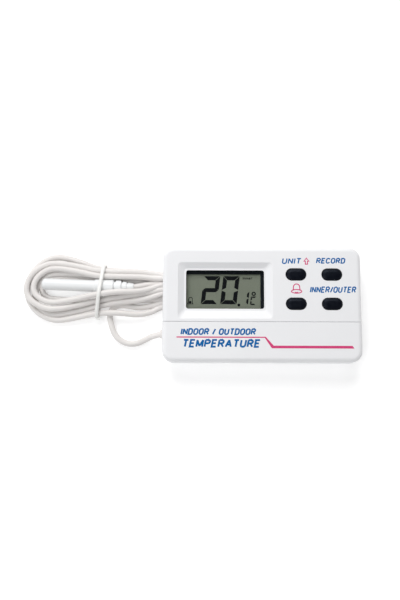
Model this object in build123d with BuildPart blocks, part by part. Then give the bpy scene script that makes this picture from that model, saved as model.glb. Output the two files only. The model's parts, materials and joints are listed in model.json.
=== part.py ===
# Digital maximum and minimum thermometer with a remote probe.
# A flat case lies on its back. It has a display, four rubber keys, a battery cover that slides
# off, and a stand that folds out of the back. A probe hangs on a thin lead that is wound in a
# hank beside the case. Millimetres: +X runs along the case, +Y towards its top edge and +Z out
# of its face. The origin is the centre of the case's back, on the surface it lies on.
from build123d import *
import os
from math import cos, pi, radians, sin, tan

os.makedirs("parts", exist_ok=True)

# how a box or a cylinder stands on its place
standing = (Align.CENTER, Align.CENTER, Align.MIN)
hanging = (Align.CENTER, Align.CENTER, Align.MAX)

# Case
case_length = 105.0
case_width = 61.0
case_height = 17.0
corner_r = 6.0
face_edge_r = 2.4
wall = 2.0
gap = 0.1
clearance = 0.02
upper_length = case_length - 0.3
face_inner_z = case_height - wall
seam_y = -9.45
seam_chamfer = 0.3

# Tongue of the front half under the cover's edge
tongue_z = 14.1
tongue_size = (92.0, 5.2, 1.2)

# Ribs of the cover, which run under rails of the rear half
cover_rib = (1.4, 14.0, 0.9)
cover_rib_place = (50.1, -19.0, 11.05)
rail_x = 48.1
rail_y = -18.5
rail_length = 16.0
rail_top_z = 12.6
rail_lip = (2.2, 0.8)

# Rear half: a tub that is narrower than the face, under a flange of the full outline
tub_length = 89.0
tub_width = 57.0
tub_corner_r = 5.0
tub_wall = 1.6
tub_edge_r = 1.0
floor_t = 1.8
flange_z = 7.6
flange_t = 1.6
shell_z = 10.0
divider_t = 1.4

# Display
recess_size = (50.1, 30.0)
recess_centre = (-19.25, 7.2)
recess_corner_r = 2.0
pad_rim = (2.0, 1.3)
window_size = (41.3, 20.6)
window_centre = (-19.35, 7.95)
window_corner_r = 1.2
window_ledge = 1.0
ledge_corner_r = 1.6
ledge_z = 15.1
pad_under_z = 13.9
lens_t = 1.0
lens_flange = 2.0
lens_fit = 0.05
lens_chamfer = 0.15
screen_z = 12.0
glass_t = 1.0
aperture_x = (-40.2, -0.45)
aperture_y = (-2.3, 16.5)
frame_x = (-42.7, 3.7)
frame_y = (-4.6, 20.6)
frame_wall = 1.3

# Keys
key_length = 10.5
key_width = 6.1
key_gap = 0.3
key_top_z = 17.5
key_travel = 0.8
key_flange = 1.2
key_flange_t = 1.0
key_edge_r = 0.9
key_spots = {
    "units": (18.0, 15.8),
    "max_min": (36.9, 15.8),
    "alarm": (18.0, 0.15),
    "sensor": (36.9, 0.15),
}
stem_r = 2.6
pill_r = 2.0

# Circuit board
board_z = 5.0
board_t = 1.6
board_top = board_z + board_t
board_x = 42.0
board_y = (-4.8, 26.3)

chip_spot = (-20.0, 9.0)
chip_r = 6.0
crystal_spot = (-10.0, 24.6)
crystal_r = 1.0
crystal_length = 6.0
sensor_spot = (33.0, 23.4)
sensor_r = 1.2
component_spot = (7.6, 9.4)
component_size = (1.6, 0.8, 0.6)

# Screws
case_screw_spots = [(-38.5, 24.2), (38.5, 24.2), (-38.5, -7.2), (38.5, -7.2)]
board_screw_spots = [(8.2, 20.6), (8.2, -2.4)]
board_support_spots = [(-24.0, 24.2), (-40.0, 10.0), (24.0, 24.2), (40.0, 10.0)]
board_support_r = 1.8
board_screw_r = 0.85
screw_r = 1.1
post_r = 3.2
boss_r = 2.2
boss_hole_depth = 5.5
screw_head_r = 2.05
screw_head_z = 0.9
screw_head_t = 1.6
screw_shank = 8.5
screw_cross = (2.6, 0.6)

# Battery, one AAA cell along X
cell_y = -18.5
cell_z = 8.0
cell_r = 5.0
cell_x = (-20.4, 23.1)
cell_nub = (1.9, 0.85)
contact_side = 8.0
sleeve_t = 0.23
plate_x = 24.0
spring_x = -25.6
contact_t = 0.4
bay_wall_t = 1.6
bay_wall_height = 11.4
bay_y = (-25.0, -12.2)
cradle_x = (-14.0, 1.0, 16.0)
cradle_size = (1.6, 14.0, 4.8)

# Notches for the wires in the wall between the battery and the electronics
wire_notch_x = (-30.5, -24.5, 24.5)
wire_notch_size = (3.4, 3.2, 2.4)

# Stand and magnets
stand_x = 16.6
stand_y = (-4.0, 17.4)
stand_t = 1.8
hinge_y = 19.0
hinge_z = 1.4
hinge_r = 1.1
pin_r = 0.6
pin_length = 37.2
stand_gap = 0.4
magnet_spots = [(-34.5, 1.5), (34.5, 1.5)]
magnet_r = 5.0
magnet_t = 2.0
stand_pad_y = 7.3
stand_pad_size = (38.0, 30.6, 2.4)
stand_pocket_z = 2.9
finger_r = 3.4
finger_z = 2.2
buzzer_spot = (27.2, 14.5)
buzzer_seat_r = 6.9
buzzer_seat_t = 0.8

# Lead and probe
lead_d = 3.2
lead_y = -14.7
lead_z = 4.0
grommet_nose_x = -54.0
lead_exit_x = -52.4
lead_inner_end_x = -34.5
grommet_r = 2.65
grommet_inner_x = -44.6
horn_size = (8.2, 7.4, 6.9)
horn_hole_x = -47.5
clamp_x = -38.5
clamp_screw_y = -19.8
clamp_top_z = 6.6
hank_height = 7.2
probe_tip = (-118.3, 12.3, 5.0)
probe_angle = -2.2
barrel_length = 28.8
barrel_r = 3.15
probe_length = 49.8
tie_x = -86.5
tie_groove = (3.2, 1.3)

# ---------------------------------------------------------------- case shells

with BuildPart() as front_case:
    with BuildSketch(Plane.XY.offset(shell_z)):
        RectangleRounded(upper_length, case_width, corner_r)
    extrude(amount=case_height - shell_z)
    fillet(front_case.edges().group_by(Axis.Z)[-1], face_edge_r)
    split(bisect_by=Plane.XZ.offset(-(seam_y + gap / 2)), keep=Keep.BOTTOM)
    chamfer(front_case.faces().sort_by(Axis.Y)[0].outer_wire().edges(), seam_chamfer)
    # the hollow behind the face
    with BuildSketch(Plane.XY.offset(shell_z)):
        RectangleRounded(upper_length - 2 * wall, case_width - 2 * wall, corner_r - wall)
    extrude(amount=face_inner_z - shell_z, mode=Mode.SUBTRACT)
    # thicker face round the display
    with BuildSketch(Plane.XY.offset(pad_under_z)):
        with Locations(recess_centre):
            RectangleRounded(recess_size[0] + 2 * pad_rim[0], recess_size[1] + 2 * pad_rim[1],
                             recess_corner_r)
    extrude(amount=face_inner_z - pad_under_z)
    # wall between the electronics and the battery, with a tongue under the cover's edge
    with Locations((0, seam_y + gap / 2, shell_z)):
        Box(upper_length - 2 * wall, divider_t, face_inner_z - shell_z,
            align=(Align.CENTER, Align.MIN, Align.MIN))
    with Locations((0, seam_y + gap, tongue_z)):
        Box(*tongue_size)
    # screw bosses reach down to the posts of the rear half
    with BuildSketch(Plane.XY.offset(board_top + gap)):
        with Locations(*case_screw_spots):
            Circle(boss_r)
    extrude(amount=face_inner_z - board_top - gap)
    with BuildSketch(Plane.XY.offset(board_top + gap)):
        with Locations(*case_screw_spots):
            Circle(screw_r)
    extrude(amount=boss_hole_depth, mode=Mode.SUBTRACT)
    # sloped recess down to the window
    with BuildSketch(Plane.XY.offset(case_height)):
        with Locations(recess_centre):
            RectangleRounded(*recess_size, recess_corner_r)
    with BuildSketch(Plane.XY.offset(ledge_z)):
        with Locations(window_centre):
            RectangleRounded(window_size[0] + 2 * window_ledge, window_size[1] + 2 * window_ledge,
                             ledge_corner_r)
    loft(mode=Mode.SUBTRACT)
    with BuildSketch(Plane.XY.offset(ledge_z)):
        with Locations(window_centre):
            RectangleRounded(*window_size, window_corner_r)
    extrude(amount=pad_under_z - ledge_z, mode=Mode.SUBTRACT)
    # key holes
    with BuildSketch(Plane.XY.offset(case_height)):
        with Locations(*key_spots.values()):
            SlotOverall(key_length + 2 * key_gap, key_width + 2 * key_gap)
    extrude(amount=-wall, mode=Mode.SUBTRACT)
front_case.part.label = "front_case"
export_step(front_case.part, "parts/front_case.step")

with BuildPart() as battery_cover:
    with BuildSketch(Plane.XY.offset(shell_z + gap)):
        RectangleRounded(case_length, case_width, corner_r)
    extrude(amount=case_height - shell_z - gap)
    fillet(battery_cover.edges().group_by(Axis.Z)[-1], face_edge_r)
    split(bisect_by=Plane.XZ.offset(-(seam_y - gap / 2)), keep=Keep.TOP)
    chamfer(battery_cover.faces().sort_by(Axis.Y)[-1].outer_wire().edges(), seam_chamfer)
    with BuildSketch(Plane.XY.offset(shell_z + gap)):
        RectangleRounded(case_length - 2 * wall, case_width - 2 * wall, corner_r - wall)
    extrude(amount=face_inner_z - shell_z - gap, mode=Mode.SUBTRACT)
    # ribs that run under the rails of the rear half
    rib_x, rib_y, rib_z = cover_rib_place
    with Locations((-rib_x, rib_y, rib_z), (rib_x, rib_y, rib_z)):
        Box(*cover_rib)
battery_cover.part.label = "battery_cover"
export_step(battery_cover.part, "parts/battery_cover.step")

bay_mid_y = sum(bay_y) / 2
bay_depth = bay_y[1] - bay_y[0]
with BuildPart() as rear_case:
    with BuildSketch():
        RectangleRounded(tub_length, tub_width, tub_corner_r)
    extrude(amount=flange_z + flange_t)
    fillet(rear_case.edges().group_by(Axis.Z)[0], tub_edge_r)
    with BuildSketch(Plane.XY.offset(flange_z)):
        RectangleRounded(upper_length, case_width, corner_r)
    extrude(amount=shell_z - gap - flange_z)
    # hollow rim and hollow tub
    with BuildSketch(Plane.XY.offset(flange_z + flange_t)):
        RectangleRounded(upper_length - 2 * wall, case_width - 2 * wall, corner_r - wall)
    extrude(amount=shell_z - flange_z - flange_t, mode=Mode.SUBTRACT)
    with BuildSketch(Plane.XY.offset(floor_t)):
        RectangleRounded(tub_length - 2 * tub_wall, tub_width - 2 * tub_wall, tub_corner_r - tub_wall)
    extrude(amount=shell_z, mode=Mode.SUBTRACT)
    # wall between the electronics and the battery
    with Locations((0, seam_y + gap / 2, floor_t)):
        Box(tub_length - tub_wall, divider_t, shell_z - gap - floor_t,
            align=(Align.CENTER, Align.MIN, Align.MIN))
    # room for the front half's bosses where they pass the dividing wall
    with BuildSketch(Plane.XY.offset(board_top)):
        with Locations(*case_screw_spots):
            Circle(boss_r + 0.15)
    extrude(amount=shell_z - board_top, mode=Mode.SUBTRACT)
    # battery bay: two end walls and three cradle ribs
    with Locations((spring_x - contact_t, bay_mid_y, floor_t)):
        Box(bay_wall_t, bay_depth, bay_wall_height, align=(Align.MAX, Align.CENTER, Align.MIN))
    with Locations((plate_x + contact_t, bay_mid_y, floor_t)):
        Box(bay_wall_t, bay_depth, bay_wall_height, align=(Align.MIN, Align.CENTER, Align.MIN))
    with Locations(*((x, cell_y, floor_t) for x in cradle_x)):
        Box(*cradle_size, align=standing)
    with Locations((cradle_x[1], cell_y, cell_z)):
        Cylinder(cell_r + 0.4, cell_x[1] - cell_x[0], rotation=(0, 90, 0), mode=Mode.SUBTRACT)
    # rails for the cover's ribs
    for side in (-1, 1):
        with Locations((side * rail_x, rail_y, flange_z + flange_t)):
            Box(1.0, rail_length, rail_top_z - flange_z - flange_t, align=standing)
        with Locations((side * (rail_x + 0.6), rail_y, rail_top_z)):
            Box(rail_lip[0], rail_length, rail_lip[1], align=hanging)
    # floor pads over the stand's pocket and the magnets, and the buzzer's seat
    with Locations((0, stand_pad_y, floor_t)):
        Box(*stand_pad_size, align=standing)
    with BuildSketch(Plane.XY.offset(floor_t)):
        with Locations(*magnet_spots):
            Circle(magnet_r + 1.2)
    extrude(amount=magnet_t - 0.4)
    with BuildSketch(Plane.XY.offset(floor_t)):
        with Locations(buzzer_spot):
            Circle(buzzer_seat_r + 0.7)
            Circle(buzzer_seat_r - 0.7, mode=Mode.SUBTRACT)
    extrude(amount=buzzer_seat_t)
    # posts for the case screws and supports for the board
    with BuildSketch(Plane.XY.offset(floor_t)):
        with Locations(*case_screw_spots):
            Circle(post_r)
    extrude(amount=board_top - floor_t)
    with BuildSketch(Plane.XY.offset(floor_t)):
        with Locations(*board_screw_spots, *board_support_spots):
            Circle(board_support_r)
    extrude(amount=board_z - floor_t)
    # horn that carries the lead out to the rim
    with Locations((-tub_length / 2 + 0.5, lead_y, 4.2)):
        Box(*horn_size, align=(Align.MAX, Align.CENTER, Align.CENTER))
    with Locations((horn_hole_x, lead_y, lead_z)):
        Cylinder(grommet_r + 0.05, 12, rotation=(0, 90, 0), mode=Mode.SUBTRACT)
    # support under the lead and its clamp
    with Locations((clamp_x, lead_y, floor_t)):
        Box(4.6, 2.8, lead_z - lead_d / 2 - floor_t - 0.05, align=standing)
    # screw holes, with the heads sunk in the back
    with BuildSketch():
        with Locations(*case_screw_spots):
            Circle(screw_r + 0.2)
    extrude(amount=board_top, mode=Mode.SUBTRACT)
    with BuildSketch():
        with Locations(*case_screw_spots):
            Circle(screw_head_r + 0.25)
    extrude(amount=screw_head_z + screw_head_t + 0.1, mode=Mode.SUBTRACT)
    with BuildSketch(Plane.XY.offset(board_z)):
        with Locations(*board_screw_spots):
            Circle(board_screw_r + 0.05)
    extrude(amount=-1.6, mode=Mode.SUBTRACT)
    with Locations((clamp_x, clamp_screw_y, floor_t)):
        Cylinder(board_screw_r + 0.05, 2.2, mode=Mode.SUBTRACT)
    # pockets in the back for the stand, a finger and the magnets
    with Locations((0, (stand_y[0] + hinge_y + hinge_r) / 2, 0)):
        Box(2 * (stand_x + stand_gap), hinge_y + hinge_r - stand_y[0] + 2 * stand_gap, stand_pocket_z,
            align=standing, mode=Mode.SUBTRACT)
    with Locations((0, stand_y[0] - stand_gap, 0)):
        Cylinder(finger_r, finger_z, align=standing, mode=Mode.SUBTRACT)
    with Locations((0, hinge_y, hinge_z)):
        Cylinder(pin_r + clearance, pin_length + 0.3, rotation=(0, 90, 0), mode=Mode.SUBTRACT)
    with BuildSketch():
        with Locations(*magnet_spots):
            Circle(magnet_r + 0.05)
    extrude(amount=magnet_t + 0.05, mode=Mode.SUBTRACT)
    # notches that let the wires through the dividing wall
    with Locations(*((x, seam_y + 1, lead_z) for x in wire_notch_x)):
        Box(*wire_notch_size, mode=Mode.SUBTRACT)
rear_case.part.label = "rear_case"
export_step(rear_case.part, "parts/rear_case.step")

with BuildPart() as case_screws:
    with BuildSketch(Plane.XY.offset(screw_head_z)):
        with Locations(*case_screw_spots):
            Circle(screw_head_r)
    extrude(amount=screw_head_t)
    with BuildSketch(Plane.XY.offset(screw_head_z)):
        with Locations(*case_screw_spots):
            Rectangle(*screw_cross)
            Rectangle(*reversed(screw_cross))
    extrude(amount=screw_head_t / 2, mode=Mode.SUBTRACT)
    with BuildSketch(Plane.XY.offset(screw_head_z + screw_head_t)):
        with Locations(*case_screw_spots):
            Circle(screw_r - 0.05)
    extrude(amount=screw_shank)
case_screws.part.label = "case_screws"
export_step(case_screws.part, "parts/case_screws.step")

# ---------------------------------------------------------------- stand and magnets

with BuildPart() as stand:
    with Locations((0, sum(stand_y) / 2, 0.3)):
        Box(2 * stand_x, stand_y[1] - stand_y[0], stand_t, align=standing)
    fillet(stand.edges().filter_by(Axis.Z).group_by(Axis.Y)[0], 3.0)
    with Locations((0, 7.5, 0.3)):
        Box(26, 14, 0.6, align=standing, mode=Mode.SUBTRACT)
    with Locations((0, hinge_y, 0.6)):
        Box(2 * stand_x, hinge_y - stand_y[1] + 0.2, 1.4, align=(Align.CENTER, Align.MAX, Align.MIN))
    with Locations((0, hinge_y, hinge_z)):
        Cylinder(hinge_r, 2 * stand_x, rotation=(0, 90, 0))
        Cylinder(pin_r + 0.06, 2 * stand_x, rotation=(0, 90, 0), mode=Mode.SUBTRACT)
stand.part.label = "stand"
export_step(stand.part, "parts/stand.step")

with BuildPart() as stand_pin:
    with Locations((0, hinge_y, hinge_z)):
        Cylinder(pin_r, pin_length, rotation=(0, 90, 0))
stand_pin.part.label = "stand_pin"
export_step(stand_pin.part, "parts/stand_pin.step")

with BuildPart() as magnets:
    with BuildSketch():
        with Locations(*magnet_spots):
            Circle(magnet_r)
    extrude(amount=magnet_t)
magnets.part.label = "magnets"
export_step(magnets.part, "parts/magnets.step")

# ---------------------------------------------------------------- display

with BuildPart() as display_window:
    with BuildSketch(Plane.XY.offset(pad_under_z - lens_t)):
        with Locations(window_centre):
            RectangleRounded(window_size[0] + 2 * lens_flange, window_size[1] + 2 * lens_flange,
                             ledge_corner_r)
    extrude(amount=lens_t)
    with BuildSketch(Plane.XY.offset(pad_under_z)):
        with Locations(window_centre):
            RectangleRounded(*(side - 2 * lens_fit for side in window_size), window_corner_r - lens_fit)
    extrude(amount=lens_t)
    chamfer(display_window.faces().sort_by(Axis.Z)[-1].edges(), lens_chamfer)
display_window.part.label = "display_window"
export_step(display_window.part, "parts/display_window.step")


def span_box(x_range, y_range, z_range, mode=Mode.ADD):
    """A box between two limits on each axis, in the active part."""
    centre = (sum(x_range) / 2, sum(y_range) / 2, sum(z_range) / 2)
    with Locations(centre):
        Box(x_range[1] - x_range[0], y_range[1] - y_range[0], z_range[1] - z_range[0], mode=mode)


inside_x = (frame_x[0] + frame_wall, frame_x[1] - frame_wall)
inside_y = (frame_y[0] + frame_wall, frame_y[1] - frame_wall)
glass_x = (inside_x[0] + 0.15, inside_x[1] - 0.15)
glass_y = (inside_y[0] + 0.15, inside_y[1] - 0.15)
frame_top_z = pad_under_z - lens_t - 0.05
contact_ledge = 2.0
with BuildPart() as lcd_frame:
    span_box(frame_x, frame_y, (board_top + 0.05, frame_top_z))
    span_box(inside_x, inside_y, (board_top, screen_z + 0.05), Mode.SUBTRACT)
    span_box(aperture_x, aperture_y, (screen_z, frame_top_z + 1), Mode.SUBTRACT)
lcd_frame.part.label = "lcd_frame"
export_step(lcd_frame.part, "parts/lcd_frame.step")

with BuildPart() as lcd_front_glass:
    span_box(glass_x, glass_y, (screen_z - glass_t, screen_z))
lcd_front_glass.part.label = "lcd_front_glass"
export_step(lcd_front_glass.part, "parts/lcd_front_glass.step")

rear_glass_y = (glass_y[0] + contact_ledge, glass_y[1])
rear_glass_top = screen_z - glass_t - clearance
with BuildPart() as lcd_rear_glass:
    span_box(glass_x, rear_glass_y, (rear_glass_top - glass_t, rear_glass_top))
lcd_rear_glass.part.label = "lcd_rear_glass"
export_step(lcd_rear_glass.part, "parts/lcd_rear_glass.step")

reflector_top = rear_glass_top - glass_t - clearance
with BuildPart() as lcd_reflector:
    span_box(glass_x, rear_glass_y, (reflector_top - 0.3, reflector_top))
lcd_reflector.part.label = "lcd_reflector"
export_step(lcd_reflector.part, "parts/lcd_reflector.step")

with BuildPart() as zebra_strip:
    span_box((-40, 0.5), (glass_y[0] + 0.1, glass_y[0] + 1.7),
             (board_top + clearance, screen_z - glass_t - clearance))
zebra_strip.part.label = "zebra_strip"
export_step(zebra_strip.part, "parts/zebra_strip.step")

# ---------------------------------------------------------------- circuit board and what is on it

with BuildPart() as circuit_board:
    with BuildSketch(Plane.XY.offset(board_z)):
        with Locations((0, sum(board_y) / 2)):
            RectangleRounded(2 * board_x, board_y[1] - board_y[0], 2.0)
        with Locations(*case_screw_spots):
            Circle(post_r + 0.35, mode=Mode.SUBTRACT)
        with Locations(*board_screw_spots):
            Circle(1.1, mode=Mode.SUBTRACT)
    extrude(amount=board_t)
circuit_board.part.label = "circuit_board"
export_step(circuit_board.part, "parts/circuit_board.step")

with BuildPart() as board_screws:
    with BuildSketch(Plane.XY.offset(board_top + clearance)):
        with Locations(*board_screw_spots):
            Circle(1.8)
    extrude(amount=1.2)
    with BuildSketch(Plane.XY.offset(board_top + clearance)):
        with Locations(*board_screw_spots):
            Circle(board_screw_r)
    extrude(amount=-3.1)
board_screws.part.label = "board_screws"
export_step(board_screws.part, "parts/board_screws.step")

with BuildPart() as chip_blob:
    with BuildSketch(Plane.XY.offset(board_top + clearance)):
        with Locations(chip_spot):
            Circle(chip_r)
    extrude(amount=1.3)
    fillet(chip_blob.edges().group_by(Axis.Z)[-1], 1.1)
chip_blob.part.label = "chip_blob"
export_step(chip_blob.part, "parts/chip_blob.step")

with BuildPart() as crystal:
    with Locations((*crystal_spot, board_z - crystal_r - 0.1)):
        Cylinder(crystal_r, crystal_length, rotation=(0, 90, 0))
crystal.part.label = "crystal"
export_step(crystal.part, "parts/crystal.step")

with BuildPart() as room_sensor:
    with Locations((*sensor_spot, board_top + sensor_r + 0.1)):
        Cylinder(sensor_r, 3.0, rotation=(0, 90, 0))
    fillet(room_sensor.edges(), 0.8)
room_sensor.part.label = "room_sensor"
export_step(room_sensor.part, "parts/room_sensor.step")

with BuildPart() as chip_components:
    with Locations((0, 0, board_top + clearance + component_size[2] / 2)):
        with GridLocations(2.8, 3.4, 2, 5):
            with Locations(component_spot):
                Box(*component_size)
chip_components.part.label = "chip_components"
export_step(chip_components.part, "parts/chip_components.step")

with BuildPart() as buzzer_disc:
    with BuildSketch(Plane.XY.offset(floor_t + 0.82)):
        with Locations(buzzer_spot):
            Circle(6.8)
    extrude(amount=0.2)
    with BuildSketch(Plane.XY.offset(floor_t + 1.02)):
        with Locations(buzzer_spot):
            Circle(4.6)
    extrude(amount=0.2)
buzzer_disc.part.label = "buzzer_disc"
export_step(buzzer_disc.part, "parts/buzzer_disc.step")

# ---------------------------------------------------------------- battery and contacts

with BuildPart() as battery_cell:
    with Locations((cell_x[0], cell_y, cell_z)):
        Cylinder(cell_r, cell_x[1] - cell_x[0], rotation=(0, 90, 0), align=standing)
    with Locations((cell_x[1], cell_y, cell_z)):
        Cylinder(cell_nub[0], cell_nub[1], rotation=(0, 90, 0), align=standing)
battery_cell.part.label = "battery_cell"
export_step(battery_cell.part, "parts/battery_cell.step")

with BuildPart() as battery_sleeve:
    with BuildSketch(Plane.YZ.offset(cell_x[0] + 0.3)):
        with Locations((cell_y, cell_z)):
            Circle(cell_r + clearance + sleeve_t)
            Circle(cell_r + clearance, mode=Mode.SUBTRACT)
    extrude(amount=cell_x[1] - cell_x[0] - 0.6)
battery_sleeve.part.label = "battery_sleeve"
export_step(battery_sleeve.part, "parts/battery_sleeve.step")

with BuildPart() as battery_plate:
    with Locations((plate_x, cell_y, cell_z)):
        Box(contact_t - clearance, contact_side, contact_side, align=(Align.MIN, Align.CENTER, Align.CENTER))
    with Locations((plate_x, cell_y + 5, cell_z - 2.5)):
        Box(contact_t - clearance, 4, 3, align=(Align.MIN, Align.CENTER, Align.CENTER))
battery_plate.part.label = "battery_plate"
export_step(battery_plate.part, "parts/battery_plate.step")

spring_wire_r = 0.3
spring_length = cell_x[0] - spring_x - 2 * spring_wire_r - 0.3
with BuildPart() as battery_spring:
    with BuildLine() as coil:
        Helix(pitch=spring_length / 3, height=spring_length, radius=2.6,
              center=(spring_x + spring_wire_r - 0.1, cell_y, cell_z), direction=(1, 0, 0))
    with BuildSketch(Plane(origin=coil.line @ 0, z_dir=coil.line % 0)):
        Circle(spring_wire_r)
    sweep(is_frenet=True)
    with Locations((spring_x, cell_y, cell_z)):
        Box(contact_t - clearance, contact_side, contact_side, align=(Align.MAX, Align.CENTER, Align.CENTER))
battery_spring.part.label = "battery_spring"
export_step(battery_spring.part, "parts/battery_spring.step")

# ---------------------------------------------------------------- tubes along a route


def route_radii(points):
    """The largest arc that fits each corner: 0.45 of its shorter run over the tangent of half its turn."""
    vectors = [Vector(*point) for point in points]
    radii = []
    for before, corner, after in zip(vectors, vectors[1:], vectors[2:]):
        turn = radians((corner - before).get_angle(after - corner))
        shorter = min((corner - before).length, (after - corner).length)
        radii.append(0.45 * shorter / tan(turn / 2))
    return radii


def tube_along(points, diameter):
    """A round tube on straight runs that tangent arcs join."""
    with BuildPart() as tube:
        with BuildLine() as path:
            FilletPolyline(*points, radius=route_radii(points))
        route = path.wire()
        with BuildSketch(Plane(origin=route @ 0, z_dir=route % 0)):
            Circle(diameter / 2)
        sweep(transition=Transition.ROUND)
    expected = pi * diameter ** 2 / 4 * route.length
    print(f"  tube volume / expected = {tube.part.volume / expected:.4f}, length {route.length:.1f}")
    return tube.part


def wire_group(routes, diameter):
    """Several thin wires as separate solids of one piece."""
    return Compound(children=[tube_along(points, diameter) for points in routes])


wire_d = 1.0
battery_wires = wire_group([
    [(24.2, -11.3, 5.5), (24.4, -9.5, 4.1), (24.0, -6.5, 3.7), (22.4, -3.6, 4.3)],
    [(-25.8, -11.3, 5.5), (-24.9, -9.5, 4.1), (-24.3, -6.5, 3.7), (-22.4, -3.6, 4.3)],
], wire_d)
battery_wires.label = "battery_wires"
export_step(battery_wires, "parts/battery_wires.step")

buzzer_wires = wire_group([
    [(25.4, 12.6, 3.8), (23.4, 11.2, 4.1), (21.0, 11.0, 4.4)],
    [(25.4, 16.4, 3.8), (23.4, 17.6, 4.1), (21.0, 17.7, 4.4)],
], 0.8)
buzzer_wires.label = "buzzer_wires"
export_step(buzzer_wires, "parts/buzzer_wires.step")

probe_wires = wire_group([
    [(-33.9, -15.4, 4.0), (-31.6, -13.4, 4.0), (-31.1, -9.5, 3.9), (-30.0, -5.5, 4.1), (-27.6, -3.4, 4.35)],
    [(-33.9, -14.0, 4.0), (-31.0, -12.2, 4.0), (-29.8, -9.0, 3.9), (-28.5, -6.2, 4.1), (-26.0, -4.3, 4.35)],
], wire_d)
probe_wires.label = "probe_wires"
export_step(probe_wires, "parts/probe_wires.step")

# ---------------------------------------------------------------- keys

mat_x = (11.0, 41.4)
mat_y = (-3.6, 20.4)
with BuildPart() as keypad_mat:
    span_box(mat_x, mat_y, (board_top + clearance, board_top + 0.8))
    with BuildSketch(Plane.XY.offset(board_top)):
        with Locations(*key_spots.values()):
            Circle(stem_r + 0.4)
    extrude(amount=2, mode=Mode.SUBTRACT)
keypad_mat.part.label = "keypad_mat"
export_step(keypad_mat.part, "parts/keypad_mat.step")

pill_z = board_top + key_travel + 0.1
pill_t = 0.6
flange_top_z = face_inner_z - 0.3
for key_name, spot in key_spots.items():
    with BuildPart() as key:
        with BuildSketch(Plane.XY.offset(flange_top_z - key_flange_t)):
            with Locations(spot):
                SlotOverall(key_length, key_width)
        extrude(amount=key_top_z - flange_top_z + key_flange_t)
        fillet(key.edges().group_by(Axis.Z)[-1], key_edge_r)
        with BuildSketch(Plane.XY.offset(flange_top_z - key_flange_t)):
            with Locations(spot):
                SlotOverall(key_length + 2 * key_flange, key_width + 2 * key_flange)
        extrude(amount=key_flange_t)
        with BuildSketch(Plane.XY.offset(pill_z + pill_t)):
            with Locations(spot):
                Circle(stem_r)
        extrude(amount=flange_top_z - key_flange_t - pill_z - pill_t)
    key.part.label = f"key_{key_name}"
    export_step(key.part, f"parts/key_{key_name}.step")

    with BuildPart() as pill:
        with BuildSketch(Plane.XY.offset(pill_z)):
            with Locations(spot):
                Circle(pill_r)
        extrude(amount=pill_t - 0.01)
    pill.part.label = f"pill_{key_name}"
    export_step(pill.part, f"parts/pill_{key_name}.step")

# ---------------------------------------------------------------- where the lead leaves the case

with BuildPart() as lead_grommet:
    with BuildSketch(Plane.XY.offset(lead_z)):
        with BuildLine():
            Polyline((grommet_inner_x, lead_y + lead_d / 2), (grommet_inner_x, lead_y + grommet_r),
                     (grommet_nose_x + 1.8, lead_y + grommet_r), (grommet_nose_x, lead_y + grommet_r - 0.45),
                     (grommet_nose_x, lead_y + lead_d / 2), close=True)
        make_face()
    revolve(axis=Axis((0, lead_y, lead_z), (1, 0, 0)))
lead_grommet.part.label = "lead_grommet"
export_step(lead_grommet.part, "parts/lead_grommet.step")

with BuildPart() as lead_inner:
    with Locations((lead_exit_x + 0.01, lead_y, lead_z)):
        Cylinder(lead_d / 2, lead_inner_end_x - lead_exit_x, rotation=(0, 90, 0),
                 align=standing)
lead_inner.part.label = "lead_inner"
export_step(lead_inner.part, "parts/lead_inner.step")

clamp_bore_r = lead_d / 2 + clearance
with BuildPart() as lead_clamp:
    span_box((clamp_x - 2.3, clamp_x + 2.3), (-22.4, -12.2), (floor_t + clearance, clamp_top_z))
    with Locations((clamp_x, lead_y, lead_z)):
        Cylinder(clamp_bore_r, 8, rotation=(0, 90, 0), mode=Mode.SUBTRACT)
    span_box((clamp_x - 4, clamp_x + 4), (lead_y - clamp_bore_r, lead_y + clamp_bore_r), (floor_t, lead_z),
             Mode.SUBTRACT)
    with Locations((clamp_x, clamp_screw_y, 4)):
        Cylinder(1.2, 8, mode=Mode.SUBTRACT)
lead_clamp.part.label = "lead_clamp"
export_step(lead_clamp.part, "parts/lead_clamp.step")

with BuildPart() as clamp_screw:
    with Locations((clamp_x, clamp_screw_y, clamp_top_z + clearance)):
        Cylinder(1.9, 1.2, align=standing)
        Cylinder(board_screw_r, 5.7, align=hanging)
clamp_screw.part.label = "clamp_screw"
export_step(clamp_screw.part, "parts/clamp_screw.step")

# ---------------------------------------------------------------- lead, hank and tie

lead_route = [
    (lead_exit_x, lead_y, lead_z), (-57.2, -15.3, 3.6), (-62.2, -17.7, 2.4), (-66.7, -19.8, 1.7),
    (-71.4, -19.9, 1.65), (-75.9, -17.9, 1.65), (-79.0, -14.2, 1.65), (-80.6, -9.4, 1.65),
    (-81.6, -5.0, 1.65),
]
print("lead_run radii", [round(radius, 1) for radius in route_radii(lead_route)])
lead_run = tube_along(lead_route, lead_d)
lead_run.label = "lead_run"
export_step(lead_run, "parts/lead_run.step")

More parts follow.
